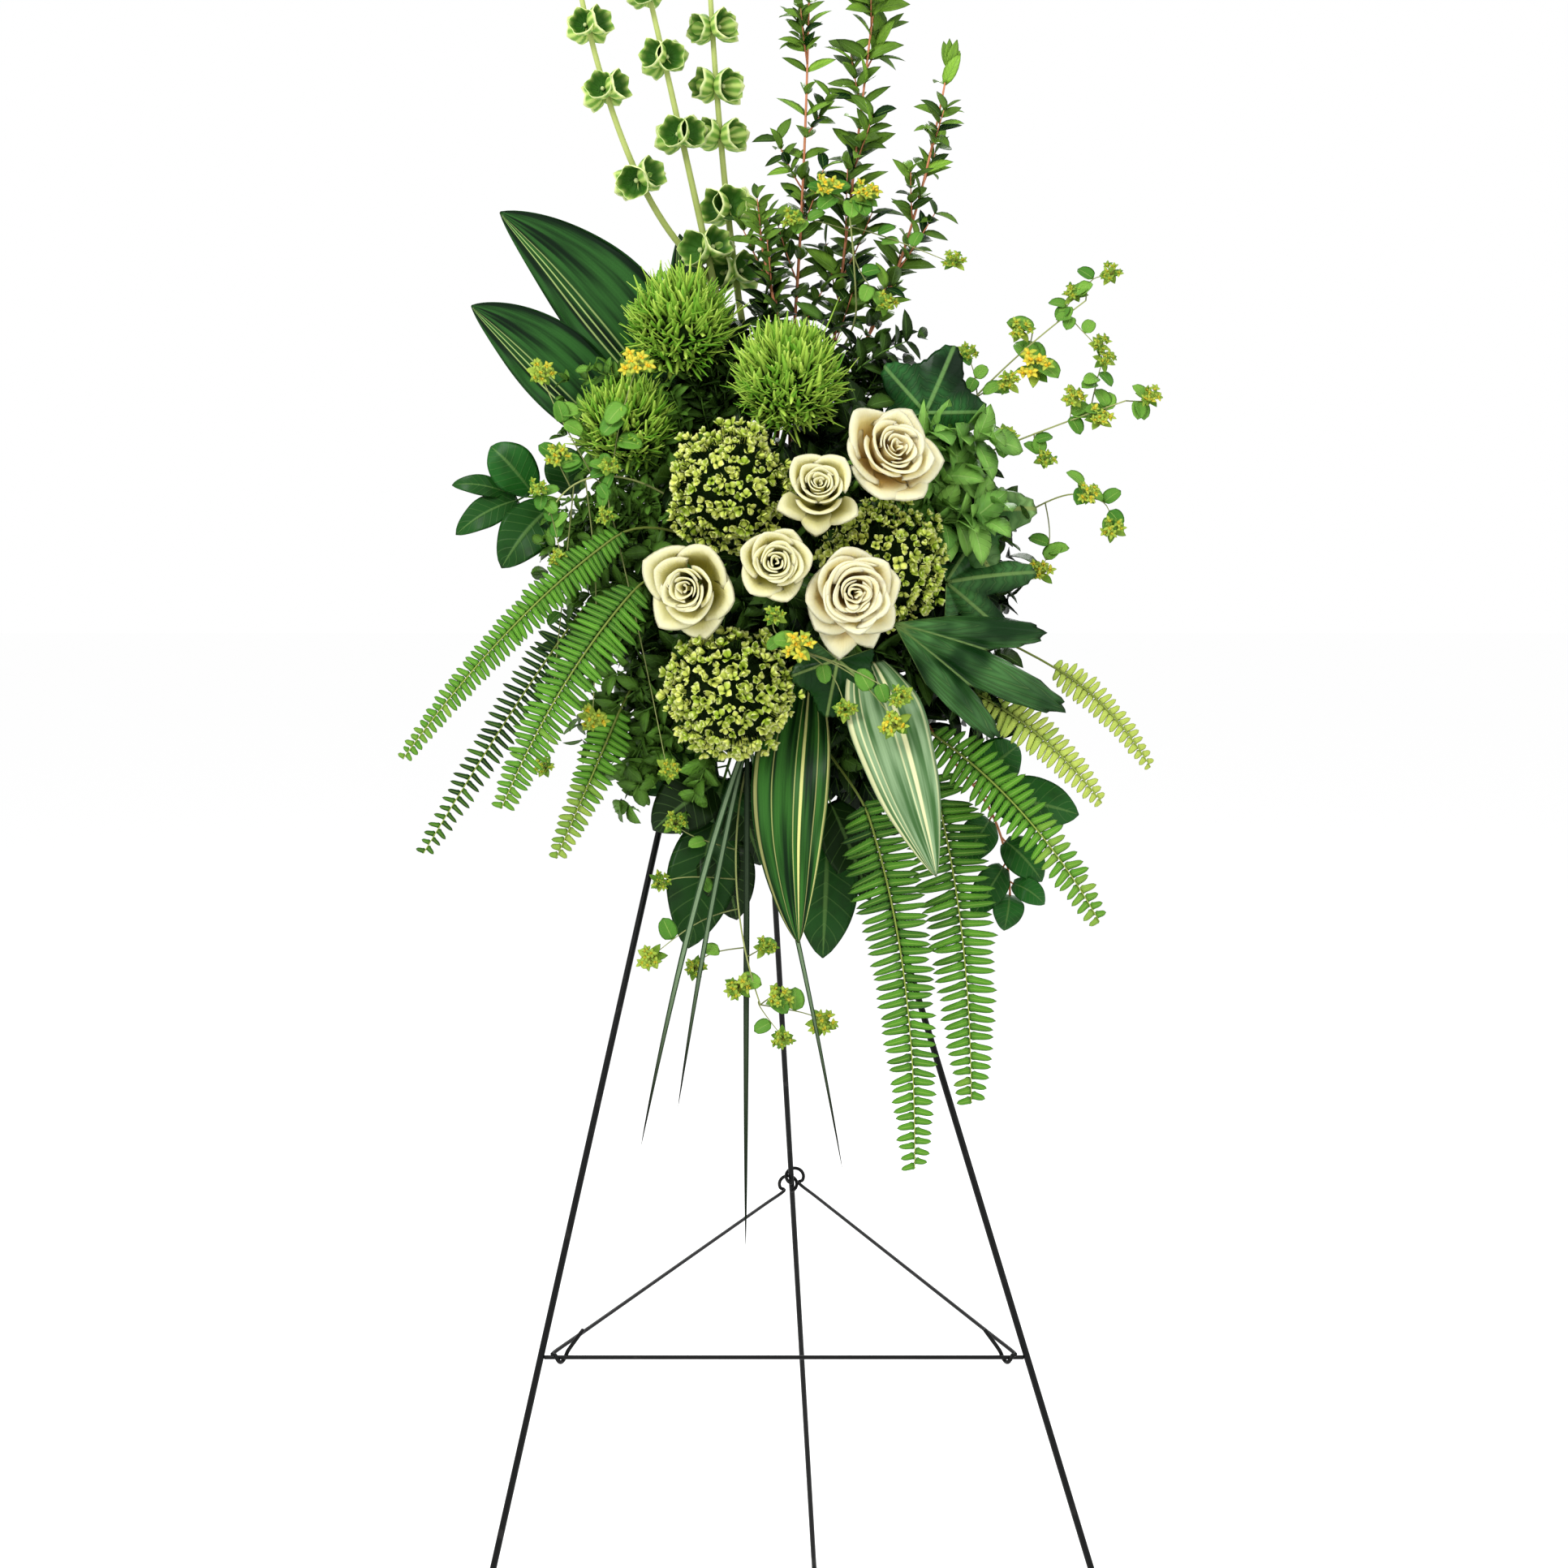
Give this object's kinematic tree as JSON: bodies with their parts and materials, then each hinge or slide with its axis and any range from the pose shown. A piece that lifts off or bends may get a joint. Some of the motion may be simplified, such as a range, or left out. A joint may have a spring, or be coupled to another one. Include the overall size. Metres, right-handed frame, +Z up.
{
  "type": "standing funeral arrangement",
  "caption": "Standing spray of cream roses, lime and green blooms, ferns and broad leaves in a caged foam block, tied to a black three-legged wire easel.",
  "frame": {"origin": "on the floor, under the middle of the whole arrangement with its easel", "axes": "+Z up, -Y towards the viewer who faces the blooms, +X to that viewer's right"},
  "size_m": [0.7334, 0.8064, 1.8901],
  "materials": {
    "black_wire": "black painted steel wire, satin",
    "tie_wire": "green enamelled tie wire",
    "cage_plastic": "moulded dark green plastic",
    "wet_foam": "crumbly wet floral foam",
    "cream_petals": "living rose petals, cream with a green tinge on the outer ones",
    "lime_florets": "small lime florets with cream rims",
    "green_needles": "tufted green needles",
    "pale_bells": "pale green veined cups",
    "myrtle_leaf": "small glossy leaves on reddish stems",
    "striped_leaf": "dark green blade striped with cream",
    "dark_leaf": "deep green glossy lobed leaf with pale veins",
    "salal_leaf": "leathery mid green leaf",
    "fern": "soft bright green leaflets",
    "star_flowers": "yellow green star bracts with round leaves",
    "grass": "narrow grass blades with a pale stripe"
  },
  "bodies": {
    "root": {"leg_left": "black_wire", "leg_right": "black_wire", "leg_rear": "black_wire", "apex_collar": "black_wire", "cross_rod": "black_wire", "side_wire_left": "black_wire", "side_wire_right": "black_wire", "tie_left": "tie_wire", "tie_right": "tie_wire", "foam_cage": "cage_plastic", "foam_block": "wet_foam", "rose_left": "cream_petals", "rose_middle": "cream_petals", "rose_right": "cream_petals", "rose_upper": "cream_petals", "rose_top": "cream_petals", "viburnum_upper": "lime_florets", "viburnum_lower": "lime_florets", "viburnum_right": "lime_florets", "dianthus_left": "green_needles", "dianthus_middle": "green_needles", "dianthus_back": "green_needles", "bells_left": "pale_bells", "bells_middle": "pale_bells", "bells_right": "pale_bells", "myrtle_left": "myrtle_leaf", "myrtle_middle": "myrtle_leaf", "myrtle_right": "myrtle_leaf", "myrtle_bushy": "myrtle_leaf", "aspidistra_high": "striped_leaf", "aspidistra_low": "striped_leaf", "aspidistra_behind": "striped_leaf", "aspidistra_hanging": "striped_leaf", "aspidistra_front": "striped_leaf", "fatsia_top": "dark_leaf", "fatsia_side": "dark_leaf", "fatsia_dark": "dark_leaf", "fatsia_large": "dark_leaf", "ivy_lower": "dark_leaf", "salal_left": "salal_leaf", "salal_lower_left": "salal_leaf", "salal_lower_right": "salal_leaf", "salal_right": "salal_leaf", "fern_left_upper": "fern", "fern_left_dark": "fern", "fern_left_bright": "fern", "fern_left_lower": "fern", "fern_right_upper": "fern", "fern_right_middle": "fern", "fern_right_high": "fern", "fern_front_long": "fern", "fern_front_short": "fern", "bupleurum_right_upper": "star_flowers", "bupleurum_right_middle": "star_flowers", "bupleurum_right_lower": "star_flowers", "bupleurum_top": "star_flowers", "bupleurum_left": "star_flowers", "bupleurum_centre": "star_flowers", "bupleurum_bottom": "star_flowers", "lily_grass": "grass"}
  },
  "joints": []
}
